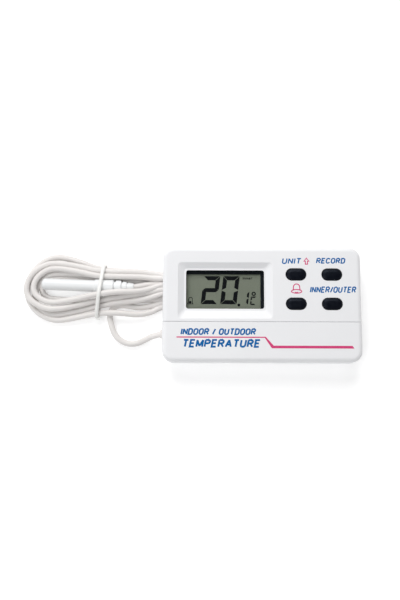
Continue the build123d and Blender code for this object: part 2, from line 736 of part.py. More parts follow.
probe_end = (
    probe_tip[0] + probe_length * cos(radians(probe_angle)),
    probe_tip[1] + probe_length * sin(radians(probe_angle)),
    probe_tip[2],
)
eye_length = 61.0
eye_width = 8.6
eye_centre = (-91.5, 11.3)
hank_outline = [
    (-128.4, 9.0), (-123.5, 22.5), (-109.5, 29.2), (-94.0, 25.2), (-78.0, 21.6), (-60.0, 19.4), (-48.6, 15.6),
    (-45.8, 8.6), (-50.0, 1.2), (-63.0, -5.0), (-86.0, -6.5), (-108.0, -8.5), (-123.0, -1.8),
]
with BuildPart() as lead_hank:
    with BuildSketch():
        with BuildLine():
            Spline(*hank_outline, periodic=True)
        make_face()
        with Locations(Location((*eye_centre, 0), (0, 0, probe_angle))):
            SlotOverall(eye_length, eye_width, mode=Mode.SUBTRACT)
    extrude(amount=hank_height)
    # groove under the hank for the tie
    with Locations((tie_x, 8, 0)):
        Box(tie_groove[0], 40, tie_groove[1], align=standing, mode=Mode.SUBTRACT)
lead_hank.part.label = "lead_hank"
export_step(lead_hank.part, "parts/lead_hank.step")

tie_low = (-7.9, 0.0)
tie_high = (24.6, 9.9)
tie_t = 0.8
tie_width = 2.1
with BuildPart() as hank_tie:
    with BuildSketch(Plane.YZ.offset(tie_x - tie_width / 2)):
        with Locations(((tie_low[0] + tie_high[0]) / 2, (tie_low[1] + tie_high[1]) / 2)):
            RectangleRounded(tie_high[0] - tie_low[0], tie_high[1] - tie_low[1], 1.4)
            RectangleRounded(tie_high[0] - tie_low[0] - 2 * tie_t, tie_high[1] - tie_low[1] - 2 * tie_t, 0.6,
                             mode=Mode.SUBTRACT)
    extrude(amount=tie_width)
hank_tie.part.label = "hank_tie"
export_step(hank_tie.part, "parts/hank_tie.step")

lead_tail = tube_along([probe_end, (-64.2, 10.4, 4.9), (-60.6, 10.0, 4.2)], lead_d)
lead_tail.label = "lead_tail"
export_step(lead_tail, "parts/lead_tail.step")

# ---------------------------------------------------------------- probe, turned about its own axis

probe_plane = Plane(
    origin=probe_tip,
    x_dir=(cos(radians(probe_angle)), sin(radians(probe_angle)), 0),
    z_dir=(0, 0, 1),
)
probe_axis = Axis(probe_tip, tuple(probe_plane.x_dir))
bore_r = 1.9
tip_r = 2.4
with BuildPart() as probe_barrel:
    with BuildSketch(probe_plane):
        with BuildLine():
            Line((0, 0), (0, barrel_r - tip_r))
            RadiusArc((0, barrel_r - tip_r), (tip_r, barrel_r), tip_r)
            Polyline((tip_r, barrel_r), (barrel_length, barrel_r), (barrel_length, bore_r),
                     (1.4, bore_r), (1.4, 0), (0, 0))
        make_face()
    revolve(axis=probe_axis)
probe_barrel.part.label = "probe_barrel"
export_step(probe_barrel.part, "parts/probe_barrel.step")

with BuildPart() as probe_sensor:
    with BuildSketch(probe_plane):
        with BuildLine():
            Polyline((1.6, 0), (1.6, 0.8), (2.3, 1.3), (5.2, 1.3), (6.2, 0.6), (10, 0.6), (10, 0), close=True)
        make_face()
    revolve(axis=probe_axis)
probe_sensor.part.label = "probe_sensor"
export_step(probe_sensor.part, "parts/probe_sensor.step")

with BuildPart() as probe_potting:
    with BuildSketch(probe_plane):
        with Locations(((10.02 + barrel_length) / 2, bore_r / 2)):
            Rectangle(barrel_length - 10.02, bore_r - 0.02)
    revolve(axis=probe_axis)
probe_potting.part.label = "probe_potting"
export_step(probe_potting.part, "parts/probe_potting.step")

# collar, notch, ring and the ribbed strain relief behind it, as (distance from the tip, radius)
collar_profile = [
    (barrel_length + clearance, 0), (barrel_length + clearance, 3.45), (29.3, 3.75), (38.6, 3.75),
    (39.1, 3.4), (39.1, 2.9), (40.2, 2.9), (40.2, 3.6), (43.1, 3.6), (43.1, 2.7), (44.0, 2.7), (44.0, 3.1),
    (46.0, 3.0), (46.0, 2.4), (46.9, 2.4), (46.9, 2.7), (probe_length, 2.3), (probe_length, 0),
]
with BuildPart() as probe_collar:
    with BuildSketch(probe_plane):
        with BuildLine():
            Polyline(*collar_profile, close=True)
        make_face()
    revolve(axis=probe_axis)
probe_collar.part.label = "probe_collar"
export_step(probe_collar.part, "parts/probe_collar.step")
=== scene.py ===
"""Maximum minimum thermometer with a probe on a wound lead: its looks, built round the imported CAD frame.

Lengths are written in millimetres and turned into metres by MM, or by mm() for a point. +Z is up, the case
lies on its back on the floor, and +Y is the top of its face.
"""

import json
from math import cos, hypot, radians, sin, tan

import bmesh
import bpy
from mathutils import Matrix, Vector


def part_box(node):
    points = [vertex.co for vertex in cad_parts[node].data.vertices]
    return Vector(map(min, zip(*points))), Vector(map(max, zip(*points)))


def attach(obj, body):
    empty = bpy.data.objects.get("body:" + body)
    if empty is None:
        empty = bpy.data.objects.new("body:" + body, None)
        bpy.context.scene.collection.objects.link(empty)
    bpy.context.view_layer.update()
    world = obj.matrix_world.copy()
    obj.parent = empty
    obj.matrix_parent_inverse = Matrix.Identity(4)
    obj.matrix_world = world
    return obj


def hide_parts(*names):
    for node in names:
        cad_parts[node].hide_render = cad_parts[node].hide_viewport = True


MM = 0.001

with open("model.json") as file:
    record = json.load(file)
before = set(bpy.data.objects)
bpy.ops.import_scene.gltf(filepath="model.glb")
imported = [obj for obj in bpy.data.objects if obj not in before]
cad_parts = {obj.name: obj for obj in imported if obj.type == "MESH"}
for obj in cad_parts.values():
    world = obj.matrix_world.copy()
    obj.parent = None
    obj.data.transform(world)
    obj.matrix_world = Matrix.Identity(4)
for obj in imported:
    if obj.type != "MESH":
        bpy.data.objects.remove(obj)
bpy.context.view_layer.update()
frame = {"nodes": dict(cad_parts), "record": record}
nodes = frame["nodes"]


def mm(x, y, z):
    return Vector((x, y, z)) * MM


def box_mm(node):
    """Lowest and highest corner of a CAD node, in millimetres."""
    low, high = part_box(node)
    return low / MM, high / MM


# ---------------------------------------------------------------- camera, floor and light

CAMERA_AIM = mm(-32.6, 1.96, 17)
CAMERA_DISTANCE = 437.7 * MM
CAMERA_TILT = radians(8.65)
CAMERA_ROLL = radians(0.21)
WALL_LIGHT = 0.6
CEILING_LIGHT = 0.1
FLOOR_GLOW = 0.37
FLOOR_SIZE = 8
FLOOR_DROP = 0.2 * MM


def add_camera():
    data = bpy.data.cameras.new("camera")
    data.lens = 50
    data.sensor_width = 36
    data.clip_start = 0.01
    camera = bpy.data.objects.new("camera", data)
    turn = Matrix.Rotation(CAMERA_TILT, 4, "X") @ Matrix.Rotation(CAMERA_ROLL, 4, "Z")
    look = turn @ Vector((0, 0, -1))
    camera.matrix_world = Matrix.Translation(CAMERA_AIM - CAMERA_DISTANCE * look) @ turn
    bpy.context.scene.collection.objects.link(camera)
    bpy.context.scene.camera = camera


def add_area_light(name, place, aim, size, watts, colour):
    data = bpy.data.lights.new(name, "AREA")
    data.shape = "DISK"
    data.size = size
    data.energy = watts
    data.color = colour
    light = bpy.data.objects.new(name, data)
    light.location = place
    light.rotation_euler = (Vector(aim) - Vector(place)).to_track_quat("-Z", "Y").to_euler()
    bpy.context.scene.collection.objects.link(light)


def add_studio():
    world = bpy.data.worlds.new("studio")
    world.use_nodes = True
    # white walls and a dark ceiling over the camera, so that dark gloss stays dark
    tree = world.node_tree
    direction = tree.nodes.new("ShaderNodeTexCoord")
    split = tree.nodes.new("ShaderNodeSeparateXYZ")
    height = tree.nodes.new("ShaderNodeMapRange")
    height.inputs["From Min"].default_value = 0.45
    height.inputs["From Max"].default_value = 0.88
    height.inputs["To Min"].default_value = WALL_LIGHT
    height.inputs["To Max"].default_value = CEILING_LIGHT
    tree.links.new(direction.outputs["Generated"], split.inputs["Vector"])
    tree.links.new(split.outputs["Z"], height.inputs["Value"])
    tree.links.new(height.outputs["Result"], tree.nodes["Background"].inputs["Strength"])
    tree.nodes["Background"].inputs["Color"].default_value = (1, 1, 1, 1)
    scene = bpy.context.scene
    scene.world = world
    scene.view_settings.view_transform = "Standard"
    add_area_light("key_light", (-0.15, 0.75, 0.75), (-0.03, 0, 0), 0.8, 8.0, (1, 0.99, 0.985))
    add_area_light("fill_light", (-0.5, -0.25, 0.9), (-0.03, 0, 0), 0.9, 4.6, (0.985, 0.99, 1))

    bpy.ops.mesh.primitive_plane_add(size=FLOOR_SIZE)
    floor = bpy.context.object
    floor.name = "floor"
    floor.location.z = -FLOOR_DROP
    floor.data.materials.append(floor_paper())


# ---------------------------------------------------------------- materials


def new_material(name, colour, roughness, **sockets):
    """A Principled material. sockets are its other inputs, with _ for the spaces in their names."""
    material = bpy.data.materials.new(name)
    material.use_nodes = True
    shader = material.node_tree.nodes["Principled BSDF"]
    shader.inputs["Base Color"].default_value = (*colour, 1)
    shader.inputs["Roughness"].default_value = roughness
    for socket, value in sockets.items():
        shader.inputs[socket.replace("_", " ")].default_value = value
    return material


def add_node(material, kind, **inputs):
    node = material.node_tree.nodes.new(kind)
    for socket, value in inputs.items():
        node.inputs[socket.replace("_", " ")].default_value = value
    return node


def add_noise(material, scale, detail=3.0, stretch=(1, 1, 1)):
    """Noise in the object's own space. scale is in cycles per metre."""
    links = material.node_tree.links
    place = material.node_tree.nodes.new("ShaderNodeTexCoord")
    mapping = add_node(material, "ShaderNodeMapping", Scale=stretch)
    noise = add_node(material, "ShaderNodeTexNoise", Scale=scale, Detail=detail)
    links.new(place.outputs["Object"], mapping.inputs["Vector"])
    links.new(mapping.outputs["Vector"], noise.inputs["Vector"])
    return noise.outputs["Fac"]


def vary(material, socket, source, low, high):
    """Runs a Principled input between low and high with a 0 to 1 source."""
    shader = material.node_tree.nodes["Principled BSDF"]
    links = material.node_tree.links
    if isinstance(low, tuple):
        ramp = material.node_tree.nodes.new("ShaderNodeValToRGB")
        ramp.color_ramp.elements[0].position = 0.3
        ramp.color_ramp.elements[0].color = (*low, 1)
        ramp.color_ramp.elements[1].position = 0.7
        ramp.color_ramp.elements[1].color = (*high, 1)
        links.new(source, ramp.inputs["Fac"])
        links.new(ramp.outputs["Color"], shader.inputs[socket])
    else:
        span = add_node(material, "ShaderNodeMapRange", From_Min=0.3, From_Max=0.7, To_Min=low, To_Max=high)
        links.new(source, span.inputs["Value"])
        links.new(span.outputs["Result"], shader.inputs[socket])


def bump(material, source, depth, strength=1.0):
    shader = material.node_tree.nodes["Principled BSDF"]
    node = add_node(material, "ShaderNodeBump", Strength=strength, Distance=depth)
    material.node_tree.links.new(source, node.inputs["Height"])
    material.node_tree.links.new(node.outputs["Normal"], shader.inputs["Normal"])


def floor_paper():
    material = new_material("floor_paper", (0.8, 0.8, 0.8), 0.9, Specular_IOR_Level=0.1)
    shader = material.node_tree.nodes["Principled BSDF"]
    shader.inputs["Emission Color"].default_value = (1, 1, 1, 1)
    shader.inputs["Emission Strength"].default_value = FLOOR_GLOW
    return material


def moulded_plastic(name, colour, roughness=0.42):
    """Injection moulded plastic: a spark-eroded grain, a little unevenness in gloss and tone."""
    material = new_material(name, colour, roughness, IOR=1.5)
    tone = add_noise(material, 60, 2)
    vary(material, "Base Color", tone, tuple(c * 0.985 for c in colour), colour)
    gloss = add_noise(material, 350, 3)
    vary(material, "Roughness", gloss, roughness - 0.05, roughness + 0.06)
    bump(material, add_noise(material, 3200, 2), 0.00002, 0.35)
    return material


def rubber(name, colour, roughness=0.5):
    material = new_material(name, colour, roughness, Specular_IOR_Level=0.2)
    material.node_tree.nodes["Principled BSDF"].inputs["Specular Tint"].default_value = (0.7, 0.8, 1, 1)
    vary(material, "Roughness", add_noise(material, 500, 3), roughness - 0.08, roughness + 0.08)
    bump(material, add_noise(material, 2200, 3), 0.00002, 0.5)
    return material


def brushed_metal(name, colour, roughness, stretch=(1, 12, 1)):
    material = new_material(name, colour, roughness, Metallic=1.0)
    grain = add_noise(material, 900, 4, stretch)
    vary(material, "Roughness", grain, roughness - 0.08, roughness + 0.1)
    vary(material, "Base Color", add_noise(material, 200, 3), tuple(c * 0.9 for c in colour), colour)
    bump(material, grain, 0.000006, 0.4)
    return material


def cord_pvc(name, colour):
    """Soft PVC: satin, with shallow ripples from the extruder."""
    material = new_material(name, colour, 0.4, Specular_IOR_Level=0.4)
    vary(material, "Base Color", add_noise(material, 90, 2), tuple(c * 0.97 for c in colour), colour)
    vary(material, "Roughness", add_noise(material, 400, 3), 0.34, 0.48)
    bump(material, add_noise(material, 1500, 2), 0.00003, 0.3)
    return material


def clear_window():
    """A clear pane: see-through, with a Fresnel gloss."""
    material = bpy.data.materials.new("clear_window")
    material.use_nodes = True
    tree = material.node_tree
    tree.nodes.remove(tree.nodes["Principled BSDF"])
    clear = add_node(material, "ShaderNodeBsdfTransparent", Color=(0.97, 0.98, 0.97, 1))
    gloss = add_node(material, "ShaderNodeBsdfGlossy", Roughness=0.03)
    fresnel = add_node(material, "ShaderNodeFresnel", IOR=1.12)
    mix = tree.nodes.new("ShaderNodeMixShader")
    tree.links.new(fresnel.outputs["Fac"], mix.inputs["Fac"])
    tree.links.new(clear.outputs["BSDF"], mix.inputs[1])
    tree.links.new(gloss.outputs["BSDF"], mix.inputs[2])
    tree.links.new(mix.outputs["Shader"], tree.nodes["Material Output"].inputs["Surface"])
    return material


def lcd_film():
    """The polarised film over the liquid crystal: grey-green, with a fine frosted grain."""
    material = new_material("lcd_film", (0.2, 0.235, 0.175), 0.35, Specular_IOR_Level=0.2)
    vary(material, "Base Color", add_noise(material, 45, 2), (0.195, 0.21, 0.17), (0.215, 0.23, 0.19))
    bump(material, add_noise(material, 5000, 2), 0.00001, 0.3)
    return material


def ink(name, colour, roughness=0.45, gloss=0.3):
    material = new_material(name, colour, roughness, Specular_IOR_Level=gloss)
    vary(material, "Base Color", add_noise(material, 700, 3), tuple(c * 0.88 for c in colour), colour)
    return material


WHITE = (0.79, 0.795, 0.81)
case_plastic = moulded_plastic("case_plastic", WHITE)
probe_plastic = moulded_plastic("probe_plastic", (0.8, 0.815, 0.82), 0.36)
lead_pvc = cord_pvc("lead_pvc", (0.735, 0.71, 0.692))
tie_nylon = moulded_plastic("tie_nylon", (0.82, 0.82, 0.8), 0.38)
key_silicone = rubber("key_silicone", (0.001, 0.0015, 0.004), 0.38)
dark_rubber = rubber("dark_rubber", (0.03, 0.03, 0.033), 0.6)
# near-black, so the frame's margin at the top and right of the window shows as a dark band: painted shadow
# standing in for the shade cast into the window by its edges
frame_black = rubber("frame_black", (0.003, 0.004, 0.005), 0.6)
blue_ink = ink("blue_ink", (0.002, 0.12, 0.36), 0.5, 0.15)
pink_ink = ink("pink_ink", (0.64, 0.06, 0.19), 0.5, 0.2)
segment_ink = ink("segment_ink", (0.0015, 0.0025, 0.0045), 0.5, 0.1)
steel = brushed_metal("steel", (0.62, 0.62, 0.61), 0.32)

SLOT_MATERIALS = {
    "case_plastic": case_plastic,
    "window_clear": clear_window(),
    "frame_black": frame_black,
    "lcd_glass": lcd_film(),
    "lcd_backing": moulded_plastic("lcd_backing", (0.3, 0.33, 0.27), 0.5),
    "key_rubber": key_silicone,
    "mat_rubber": dark_rubber,
    "carbon": rubber("carbon", (0.01, 0.01, 0.01), 0.75),
    "board_green": moulded_plastic("board_green", (0.02, 0.16, 0.06), 0.35),
    "epoxy_black": moulded_plastic("epoxy_black", (0.015, 0.015, 0.016), 0.3),
    "steel": steel,
    "nickel": brushed_metal("nickel", (0.7, 0.66, 0.6), 0.25),
    "brass": brushed_metal("brass", (0.78, 0.58, 0.27), 0.3),
    "cell_steel": brushed_metal("cell_steel", (0.66, 0.66, 0.67), 0.28, (12, 1, 1)),
    "cell_sleeve": moulded_plastic("cell_sleeve", (0.05, 0.07, 0.16), 0.3),
    "wire_pvc": cord_pvc("wire_pvc", (0.5, 0.05, 0.04)),
    "lead_pvc": lead_pvc,
    "probe_plastic": probe_plastic,
    "tie_plastic": tie_nylon,
    "magnet_ferrite": moulded_plastic("magnet_ferrite", (0.07, 0.07, 0.075), 0.55),
}


def paint_cad_nodes():
    """Gives each CAD node the finish of its slot in the record."""
    for subpart in frame["record"]["subparts"]:
        mesh = nodes[subpart["node"]].data
        mesh.materials.clear()
        mesh.materials.append(SLOT_MATERIALS[subpart["material_slot"]])


# ---------------------------------------------------------------- the lead

LEAD_DIAMETER = 3.2
LEAD_EXIT = (-52.4, -14.7, 4.0)

# from the case's grommet to the hank, as in the CAD source
LEAD_RUN = [
    LEAD_EXIT, (-57.2, -15.3, 3.6), (-62.2, -17.7, 2.4), (-66.7, -19.8, 1.7), (-71.4, -19.9, 1.65),
    (-75.9, -17.9, 1.65), (-79.0, -14.2, 1.65), (-80.6, -9.4, 1.65), (-81.6, -5.0, 1.65),
]
# under the hank, towards the case
HANK_ENTRY = [
    (-80.9, -1.5, 1.65), (-78.1, 0.9, 1.65), (-73.4, 1.3, 1.65), (-66.5, -0.2, 1.65), (-60.0, 0.6, 1.65),
    (-55.0, 2.1, 1.65),
]
# out of the last fold and into the probe's strain relief
LEAD_TAIL = [
    (-50.0, 0.9, 1.65), (-46.7, 3.9, 1.7), (-46.7, 9.0, 2.6), (-50.0, 12.4, 3.6), (-55.0, 13.1, 4.1),
    (-60.5, 12.3, 4.6), (-65.0, 11.2, 4.9), (-69.0, 10.7, 5.0),
]
FLOOR_LAYER = 1.65
FOLD_X = (-50.2, -46.7)
WAIST_X = -88.5
SIDE_ANGLES = (8, 32, 56, 79, 101, 124, 148, 172)


class Turn:
    """One turn of the hank. Each pair is (upper run, lower run), in y: at the wide left end (bulge), at the
    tie (waist) and beside the case (edge). round_x is where the left end begins. sway bends each run off its
    straight line. rise is the height of the upper run beside the case, at the waist and at the bulge, then of
    the left end, then of the lower run at the bulge, at the waist, past it and beside the case."""

    def __init__(self, left, round_x, bulge, waist, edge, sway, rise):
        self.left, self.round_x, self.rise = left, round_x, rise
        self.bulge, self.waist, self.edge, self.sway = bulge, waist, edge, sway


LOW = FLOOR_LAYER
HANK_TURNS = [
    Turn((-118.6, 10.5), -112.0, (15.8, 4.6), (14.6, 2.6), (13.0, 4.8), (0.6, 0.3),
         (LOW, LOW, LOW, LOW, LOW, LOW, LOW, LOW)),
    Turn((-122.3, 5.8), -109.5, (18.4, -4.3), (17.4, 0.4), (15.0, 7.4), (0.4, 1.6),
         (LOW, 2.4, 3.2, LOW, LOW, 2.9, 4.5, 4.8)),
    Turn((-126.4, 9.6), -109.5, (23.8, -1.6), (19.4, 3.2), (17.4, 9.7), (1.0, 0.7),
         (4.8, 4.7, 4.85, 4.9, 4.85, 5.0, 5.2, 5.3)),
    Turn((-122.5, 9.9), -109.5, (20.9, 1.9), (16.5, 6.3), (14.9, 12.6), (0.8, 2.6),
         (5.9, 6.1, 5.6, 5.2, 5.4, 8.4, 9.0, 5.6)),
    Turn((-126.6, 9.6), -107.5, (28.0, -7.4), (21.0, -3.4), (17.6, 1.0), (0.6, 3.9),
         (LOW, LOW, LOW, LOW, LOW, 3.3, 4.85, LOW)),
]


def between(a, b, share):
    return a + (b - a) * share


def turn_points(turn, y_in, z_in):
    """Control points of one turn: the fold under the case, the upper run, the left end and the lower run.
    y_in and z_in are where the run before it goes under the case."""
    (bulge_up, bulge_down), (waist_up, waist_down) = turn.bulge, turn.waist
    (edge_up, edge_down), (sway_up, sway_down) = turn.edge, turn.sway
    z_edge, z_waist, z_bulge, z_left, z_down, z_waist_down, z_past, z_out = turn.rise
    left_x, left_y = turn.left

    width = edge_up - y_in
    flare = max(0, (9 - width) * 0.35)
    points = [
        (FOLD_X[0], y_in - flare + 0.1 * width, z_in),
        (FOLD_X[1], y_in + 0.27 * width - 0.4 * flare, between(z_in, z_edge, 0.3)),
        (FOLD_X[1], edge_up - 0.27 * width + 0.4 * flare, between(z_in, z_edge, 0.7)),
        (FOLD_X[0], edge_up + flare - 0.1 * width, z_edge),
        (-55.0, edge_up + 0.3 * sway_up, z_edge),
        (-65.0, between(edge_up, waist_up, 0.33) + sway_up, z_edge),
        (-77.0, between(edge_up, waist_up, 0.67) + 0.4 * sway_up, between(z_edge, z_waist, 0.7)),
        (WAIST_X, waist_up, z_waist),
        (-98.5, between(waist_up, bulge_up, 0.6), between(z_waist, z_bulge, 0.7)),
    ]
    reach = (left_x - turn.round_x) / cos(radians(12))
    for degrees_round in SIDE_ANGLES:
        across, along = cos(radians(degrees_round)), sin(radians(degrees_round))
        half = (bulge_up - left_y) if across > 0 else (left_y - bulge_down)
        points.append((
            turn.round_x + reach * along,
            left_y + half * across / cos(radians(12)),
            between(z_bulge if across > 0 else z_down, z_left, along),
        ))
    points += [
        (-99.5, between(bulge_down, waist_down, 0.42), between(z_down, z_waist_down, 0.5)),
        (WAIST_X, waist_down, z_waist_down),
        (-77.5, between(waist_down, edge_down, 0.33) - 0.3 * sway_down, z_past),
        (-66.0, between(waist_down, edge_down, 0.66) - sway_down, between(z_past, z_out, 0.4)),
        (-59.0, between(waist_down, edge_down, 0.86) - 0.8 * sway_down, between(z_past, z_out, 0.8)),
        (-54.0, edge_down - 0.2 * sway_down, z_out),
    ]
    return points


def lead_points():
    points = LEAD_RUN + HANK_ENTRY
    for turn in HANK_TURNS:
        points = points + turn_points(turn, points[-1][1], points[-1][2])
    return points + LEAD_TAIL


def add_cord_curve(name, points, diameter, material):
    curve = bpy.data.curves.new(name, "CURVE")
    curve.dimensions = "3D"
    curve.bevel_depth = diameter * MM / 2
    curve.bevel_resolution = 6
    curve.resolution_u = 8
    curve.use_fill_caps = True
    spline = curve.splines.new("NURBS")
    spline.points.add(len(points) - 1)
    for point, place in zip(spline.points, points):
        point.co = (*mm(*place), 1)
    spline.order_u = 3
    spline.use_endpoint_u = True
    curve.materials.append(material)
    cord = bpy.data.objects.new(name, curve)
    bpy.context.scene.collection.objects.link(cord)
    return cord


# ---------------------------------------------------------------- meshes


def add_mesh(name, bm, material, body):
    mesh = bpy.data.meshes.new(name)
    bmesh.ops.recalc_face_normals(bm, faces=bm.faces)
    bm.to_mesh(mesh)
    bm.free()
    mesh.materials.append(material)
    piece = bpy.data.objects.new(name, mesh)
    bpy.context.scene.collection.objects.link(piece)
    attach(piece, body)
    return piece


def add_prism(bm, outline, bottom, top):
    """A flat closed shape standing from bottom to top. outline is (x, y) in millimetres."""
    low = [bm.verts.new(mm(x, y, bottom)) for x, y in outline]
    high = [bm.verts.new(mm(x, y, top)) for x, y in outline]
    bm.faces.new(low)
    bm.faces.new(high)
    for i, corner in enumerate(low):
        after = (i + 1) % len(low)
        bm.faces.new((corner, low[after], high[after], high[i]))


def add_ribbon(bm, line, width, bottom, top, closed=False):
    """A printed line of one width along (x, y) points."""
    count = len(line)
    line = [Vector(point) for point in line]
    runs = [(line[(i + 1) % count] - here).normalized() for i, here in enumerate(line)]
    left, right = [], []
    for i, here in enumerate(line):
        first = runs[i - 1] if i or closed else runs[0]
        second = runs[i] if i < count - 1 or closed else runs[i - 1]
        middle = (first + second).normalized()
        side = Vector((-middle.y, middle.x)) * (width / 2 / max(0.6, middle.dot(first)))
        left.append(here + side)
        right.append(here - side)
    steps = range(count if closed else count - 1)
    for i in steps:
        j = (i + 1) % count
        add_prism(bm, [left[i], left[j], right[j], right[i]], bottom, top)


def arc(centre, radius, start, end, steps=8, squeeze=1.0):
    """Points round a centre, from start to end in degrees. squeeze is the ellipse's height over its width."""
    for i in range(steps + 1):
        angle = radians(between(start, end, i / steps))
        yield centre[0] + radius * cos(angle), centre[1] + radius * squeeze * sin(angle)


def oval(centre, across, up, start, end, steps=8):
    return arc(centre, across, start, end, steps, up / across)


def loop_of_o(width):
    top = oval((width / 2, 0.72), width / 2, 0.28, 0, 180)
    bottom = oval((width / 2, 0.28), width / 2, 0.28, 180, 360)
    return [*top, *bottom, (width, 0.72)]


STEM = [(0, 0), (0, 1)]
BOWL = [(0, 1), (0.28, 1), *oval((0.28, 0.75), 0.26, 0.25, 90, -90), (0, 0.5)]
# each letter as its width and its pen strokes, in cap heights; a stroke that ends where it starts is closed
GLYPHS = {
    "A": (0.62, [[(0, 0), (0.31, 1)], [(0.31, 1), (0.62, 0)], [(0.11, 0.33), (0.51, 0.33)]]),
    "C": (0.55, [[*oval((0.275, 0.72), 0.275, 0.28, 15, 180), *oval((0.275, 0.28), 0.275, 0.28, 180, 345)]]),
    "D": (0.54, [[(0, 0), (0, 1), (0.24, 1), *oval((0.24, 0.7), 0.3, 0.3, 90, 0),
                  *oval((0.24, 0.3), 0.3, 0.3, 0, -90), (0, 0)]]),
    "E": (0.48, [[(0.48, 1), (0, 1), (0, 0), (0.48, 0)], [(0, 0.51), (0.42, 0.51)]]),
    "I": (0, [STEM]),
    "M": (0.68, [STEM, [(0, 0.98), (0.34, 0.1)], [(0.34, 0.1), (0.68, 0.98)], [(0.68, 0), (0.68, 1)]]),
    "N": (0.54, [STEM, [(0, 0.97), (0.54, 0.03)], [(0.54, 0), (0.54, 1)]]),
    "O": (0.56, [loop_of_o(0.56)]),
    "P": (0.54, [STEM, BOWL]),
    "R": (0.56, [STEM, BOWL, [(0.26, 0.5), (0.56, 0)]]),
    "T": (0.54, [[(0, 1), (0.54, 1)], [(0.27, 1), (0.27, 0)]]),
    "U": (0.54, [[(0, 1), *oval((0.27, 0.3), 0.27, 0.3, 180, 360), (0.54, 1)]]),
    "/": (0.26, [[(0, 0), (0.26, 1)]]),
    "n": (0.36, [[(0, 0), (0, 0.68)], [(0, 0.45), *oval((0.18, 0.46), 0.18, 0.2, 180, 0, 6), (0.36, 0)]]),
    "e": (0.38, [[(0, 0.36), (0.38, 0.36), *oval((0.19, 0.34), 0.19, 0.32, 5, 320, 12)]]),
    "r": (0.26, [[(0, 0), (0, 0.68)], [(0, 0.42), *oval((0.2, 0.42), 0.2, 0.24, 170, 60, 4)]]),
    " ": (0.16, []),
}
LETTER_GAP = 0.3


# crossing strokes of a letter lie this far above each other, so that no two faces fall together
STROKE_STEP = 0.002


def print_words(name, words, x_span, y_span, z, stroke, material, body, slot, slant=0.2):
    """Slanted one-stroke lettering fitted to a box in millimetres and printed PRINT_THICKNESS thick."""
    letters = [GLYPHS[letter] for letter in words]
    total = sum(width for width, _ in letters) + LETTER_GAP * (len(letters) - 1)
    height = y_span[1] - y_span[0] - stroke
    stretch = (x_span[1] - x_span[0] - stroke - slant * height) / total
    start, base = x_span[0] + stroke / 2, y_span[0] + stroke / 2
    bm = bmesh.new()
    for width, strokes in letters:
        for i, pen in enumerate(strokes):
            low = z + STROKE_STEP * i
            line = [(start + x * stretch + y * height * slant, base + y * height) for x, y in pen]
            closed = hypot(line[0][0] - line[-1][0], line[0][1] - line[-1][1]) < stroke / 10
            add_ribbon(bm, line[:-1] if closed else line, stroke, low, low + PRINT_THICKNESS, closed)
        start += (width + LETTER_GAP) * stretch
    return add_mesh(name, bm, material, body)


# ---------------------------------------------------------------- raised ovals on the keys

PAD_LENGTH, PAD_WIDTH = 8.6, 4.3
# each ring of the pad as (inset from its edge, height over the key's top)
PAD_RINGS = ((0, -0.02), (0.15, 0.05), (0.4, 0.12), (0.8, 0.17), (1.4, 0.2))


def add_key_pad(key):
    """A low dome inside the rim of a key's cap."""
    low, high = box_mm(key)
    middle = (low + high) / 2
    bm = bmesh.new()
    rings = []
    for inset, height in PAD_RINGS:
        end_r = PAD_WIDTH / 2 - inset
        reach = (PAD_LENGTH - PAD_WIDTH) / 2
        outline = [*arc((middle.x + reach, middle.y), end_r, -90, 90, 16),
                   *arc((middle.x - reach, middle.y), end_r, 90, 270, 16)]
        rings.append([bm.verts.new(mm(x, y, high.z + height)) for x, y in outline])
    for outer, inner in zip(rings, rings[1:]):
        for i, corner in enumerate(outer):
            j = (i + 1) % len(outer)
            bm.faces.new((corner, outer[j], inner[j], inner[i]))
    bm.faces.new(rings[-1])
    bm.faces.new(reversed(rings[0]))
    pad = add_mesh(key + "_pad", bm, key_silicone, key)
    for polygon in pad.data.polygons:
        polygon.use_smooth = True


# ---------------------------------------------------------------- printing on the case and cover

PRINT_THICKNESS = 0.03
# how far a key's hidden flange stands out round its cap
KEY_FLANGE = 1.2
# the print is let into the face by a hair
PRINT_Z = box_mm("front_case")[1].z - 0.01


def above_key(key, left, right, gap, height):
    """The box of a legend above a key: left and right from the key's middle, gap above its top edge."""
    low, high = box_mm(key)
    middle = (low.x + high.x) / 2
    bottom = high.y - KEY_FLANGE + gap
    return (middle + left, middle + right), (bottom, bottom + height)


def add_legends():
    for name, words, key, place in (
        ("legend_units", "UNIT", "key_units", (-7.5, 3.1, 2.5, 3.3)),
        ("legend_max_min", "RECORD", "key_max_min", (-8.3, 7.5, 2.8, 3.1)),
        ("legend_sensor", "INNER/OUTER", "key_sensor", (-11.8, 13.0, 2.8, 3.4)),
    ):
        print_words(name, words, *above_key(key, *place), PRINT_Z, 0.66, blue_ink, "case", "case_plastic")


def add_arrow_symbol():
    """An outlined arrow beside the units legend."""
    (left, right), (bottom, top) = above_key("key_units", 4.3, 6.9, 2.5, 3.2)
    middle = (left + right) / 2
    shaft = (right - left) * 0.22
    neck = bottom + (top - bottom) * 0.5
    outline = [
        (middle - shaft, bottom), (middle - shaft, neck), (left, neck), (middle, top), (right, neck),
        (middle + shaft, neck), (middle + shaft, bottom),
    ]
    bm = bmesh.new()
    add_ribbon(bm, outline, 0.5, PRINT_Z, PRINT_Z + PRINT_THICKNESS, closed=True)
    add_mesh("symbol_arrow", bm, pink_ink, "case")


